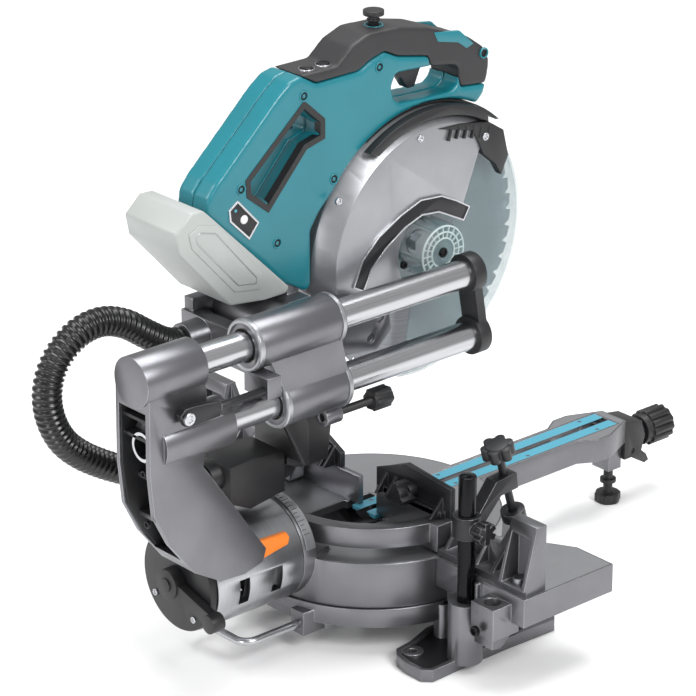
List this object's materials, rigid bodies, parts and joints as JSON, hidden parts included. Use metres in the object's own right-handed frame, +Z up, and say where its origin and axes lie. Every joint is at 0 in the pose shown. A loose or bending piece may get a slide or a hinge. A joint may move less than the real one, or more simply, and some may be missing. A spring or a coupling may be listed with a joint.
{
  "type": "slide compound mitre saw",
  "caption": "Cordless slide compound mitre saw on its own base, with turning table, tilting rail arm, sliding carriage, chopping head, clear blade guard, fences and vise.",
  "frame": {"origin": "on the bench plane, under the turntable's axis and at the middle of the bench bolt holes", "axes": "+Z up, +Y to the rear, where the rails are held, +X to the operator's right; the saw blade's plane is X = 0 at rest"},
  "size_m": [0.49, 0.799, 0.602],
  "materials": {
    "cast_grey": "satin",
    "machined": "machined",
    "dark_cast": "satin",
    "steel": "satin",
    "chrome": "polished",
    "black_plastic": "moulded",
    "grip_charcoal": "textured",
    "teal_housing": "moulded satin",
    "kerf_blue": "moulded",
    "orange_lever": "moulded",
    "case_silver": "metallic satin",
    "guard_clear": "clear tinted plastic",
    "hose_black": "glossy corrugated",
    "battery_grey": "moulded",
    "brass": "turned",
    "rubber": "matt",
    "belt": "matt"
  },
  "bodies": {
    "base": {"base_casting": "cast_grey", "rubber_feet": "rubber", "wire_stay": "chrome", "mitre_scale": "machined", "fence_fixed": "dark_cast", "fence_bolts": "steel", "pivot_bolt": "steel", "pivot_bush": "brass"},
    "table": {"turntable": "cast_grey", "kerf_board_left": "kerf_blue", "kerf_board_right": "kerf_blue", "kerf_screws": "steel", "grip_housing": "black_plastic", "bevel_scale": "machined", "bevel_pin": "steel"},
    "mitre_grip": {"mitre_grip": "black_plastic", "mitre_lock_rod": "steel"},
    "mitre_latch": {"mitre_latch_lever": "black_plastic"},
    "foot_bolt": {"foot_bolt": "black_plastic"},
    "fence_left": {"sub_fence_left": "dark_cast"},
    "fence_left_knob": {"fence_knob_left": "black_plastic"},
    "fence_right": {"sub_fence_right": "dark_cast"},
    "fence_right_knob": {"fence_knob_right": "black_plastic"},
    "vise_post": {"vise_post": "dark_cast"},
    "vise_arm": {"vise_arm": "dark_cast"},
    "vise_screw": {"vise_knob": "black_plastic"},
    "vise_pad": {"vise_pad": "dark_cast"},
    "bevel_arm": {"bevel_hub": "machined", "hub_cap": "black_plastic", "arm_casting": "cast_grey", "rail_upper": "chrome", "rail_lower": "chrome", "rail_end_cap": "black_plastic", "dust_duct": "black_plastic", "dust_hose": "hose_black"},
    "bevel_lock": {"bevel_lock_lever": "black_plastic"},
    "bevel_latch": {"bevel_latch": "orange_lever"},
    "stopper": {"stopper_arm": "dark_cast"},
    "carriage": {"carriage": "cast_grey", "slide_bushes": "brass", "dust_chute": "black_plastic", "pivot_pin": "steel"},
    "slide_knob": {"slide_knob": "black_plastic"},
    "head": {"swing_arm": "cast_grey", "blade_case": "case_silver", "case_trim": "black_plastic", "handle_left": "teal_housing", "handle_right": "teal_housing", "handle_grip": "grip_charcoal", "drive_housing": "dark_cast", "motor_housing": "teal_housing", "drive_belt": "belt"},
    "motor": {"motor_rotor": "steel"},
    "guard": {"lower_guard": "guard_clear", "guard_dome": "guard_clear"},
    "blade": {"blade": "steel", "arbor": "steel"},
    "trigger": {"trigger": "black_plastic"},
    "lock_off": {"lock_off_button": "black_plastic"},
    "battery": {"battery": "battery_grey"}
  },
  "joints": [
    {"name": "mitre", "type": "hinge", "parent": "base", "child": "table", "pos_m": [0, 0, 0.06], "axis": [0, 0, 1], "range_deg": [-50, 50]},
    {"name": "mitre_grip_turn", "type": "hinge", "parent": "table", "child": "mitre_grip", "pos_m": [0, -0.375, 0.068], "axis": [0, -1, 0], "range_deg": [0, 180]},
    {"name": "mitre_latch_press", "type": "hinge", "parent": "table", "child": "mitre_latch", "pos_m": [0, -0.35, 0.057], "axis": [1, 0, 0], "range_deg": [0, 12], "stiffness_Nm_per_rad": 0.6, "springref_deg": -20.05},
    {"name": "foot_bolt_height", "type": "slide", "parent": "table", "child": "foot_bolt", "axis": [0, 0, 1], "range_m": [0, 0.012]},
    {"name": "fence_left_slide", "type": "slide", "parent": "base", "child": "fence_left", "axis": [-1, 0, 0], "range_m": [0, 0.066]},
    {"name": "fence_left_knob_turn", "type": "hinge", "parent": "fence_left", "child": "fence_left_knob", "pos_m": [-0.066, 0.02, 0.14], "axis": [0, -1, 0], "range_deg": [0, 90]},
    {"name": "fence_right_slide", "type": "slide", "parent": "base", "child": "fence_right", "axis": [1, 0, 0], "range_m": [0, 0.066]},
    {"name": "fence_right_knob_turn", "type": "hinge", "parent": "fence_right", "child": "fence_right_knob", "pos_m": [0.074, 0.02, 0.14], "axis": [0, -1, 0], "range_deg": [0, 90]},
    {"name": "vise_swing", "type": "hinge", "parent": "base", "child": "vise_post", "pos_m": [-0.172, 0.035, 0.1], "axis": [0, 0, 1], "range_deg": [0, 40]},
    {"name": "vise_height", "type": "slide", "parent": "vise_post", "child": "vise_arm", "axis": [0, 0, 1], "range_m": [0, 0.035]},
    {"name": "vise_feed", "type": "slide", "parent": "vise_arm", "child": "vise_pad", "axis": [0, -0.2924, -0.9563], "range_m": [0, 0.018]},
    {"name": "vise_screw_turn", "type": "hinge", "parent": "vise_pad", "child": "vise_screw", "pos_m": [-0.172, -0.014, 0.178], "axis": [0, -0.2924, -0.9563], "range_deg": [0, 1621]},
    {"name": "bevel", "type": "hinge", "parent": "table", "child": "bevel_arm", "pos_m": [0, 0.14, 0.095], "axis": [0, -1, 0], "range_deg": [-48, 20]},
    {"name": "bevel_lock_turn", "type": "hinge", "parent": "bevel_arm", "child": "bevel_lock", "pos_m": [0, 0.22, 0.095], "axis": [0, -1, 0], "range_deg": [0, 40]},
    {"name": "bevel_latch_lift", "type": "hinge", "parent": "bevel_arm", "child": "bevel_latch", "pos_m": [-0.054, 0.192, 0.129], "axis": [-1, 0, 0], "range_deg": [0, 25]},
    {"name": "stopper_swing", "type": "hinge", "parent": "bevel_arm", "child": "stopper", "pos_m": [-0.1, 0.312, 0.315], "axis": [-1, 0, 0], "range_deg": [0, 70]},
    {"name": "carriage_slide", "type": "slide", "parent": "bevel_arm", "child": "carriage", "axis": [0, -1, 0], "range_m": [0, 0.165]},
    {"name": "slide_knob_turn", "type": "hinge", "parent": "carriage", "child": "slide_knob", "pos_m": [-0.075, 0.08, 0.253], "axis": [0, -1, 0], "range_deg": [0, 180]},
    {"name": "chop", "type": "hinge", "parent": "carriage", "child": "head", "pos_m": [0, 0.15, 0.335], "axis": [1, 0, 0], "range_deg": [0, 45], "stiffness_Nm_per_rad": 9, "springref_deg": -137.51},
    {"name": "blade_spin", "type": "hinge", "parent": "head", "child": "blade", "pos_m": [0, -0.05, 0.362], "axis": [1, 0, 0], "continuous": true},
    {"name": "motor_spin", "type": "hinge", "parent": "head", "child": "motor", "pos_m": [0.08, 0.04, 0.43], "axis": [1, 0, 0], "continuous": true},
    {"name": "guard_swing", "type": "hinge", "parent": "head", "child": "guard", "pos_m": [0, -0.05, 0.362], "axis": [-1, 0, 0], "range_deg": [0, 122]},
    {"name": "trigger_pull", "type": "hinge", "parent": "head", "child": "trigger", "pos_m": [0, -0.018, 0.541], "axis": [-1, 0, 0], "range_deg": [0, 8], "stiffness_Nm_per_rad": 0.5, "springref_deg": -17.19},
    {"name": "lock_off_press", "type": "slide", "parent": "head", "child": "lock_off", "axis": [0, 0, -1], "range_m": [0, 0.004], "stiffness_N_per_m": 500, "springref_m": -0.004},
    {"name": "battery_slide", "type": "slide", "parent": "head", "child": "battery", "axis": [0, 0.711, 0.7032], "range_m": [0, 0.09]}
  ],
  "couplings": [
    {"joint": "motor_spin", "follows": "blade_spin", "ratio": 2},
    {"joint": "guard_swing", "follows": "chop", "ratio": 2.6667},
    {"joint": "vise_screw_turn", "follows": "vise_feed", "rad_per_m": 1570.8}
  ]
}
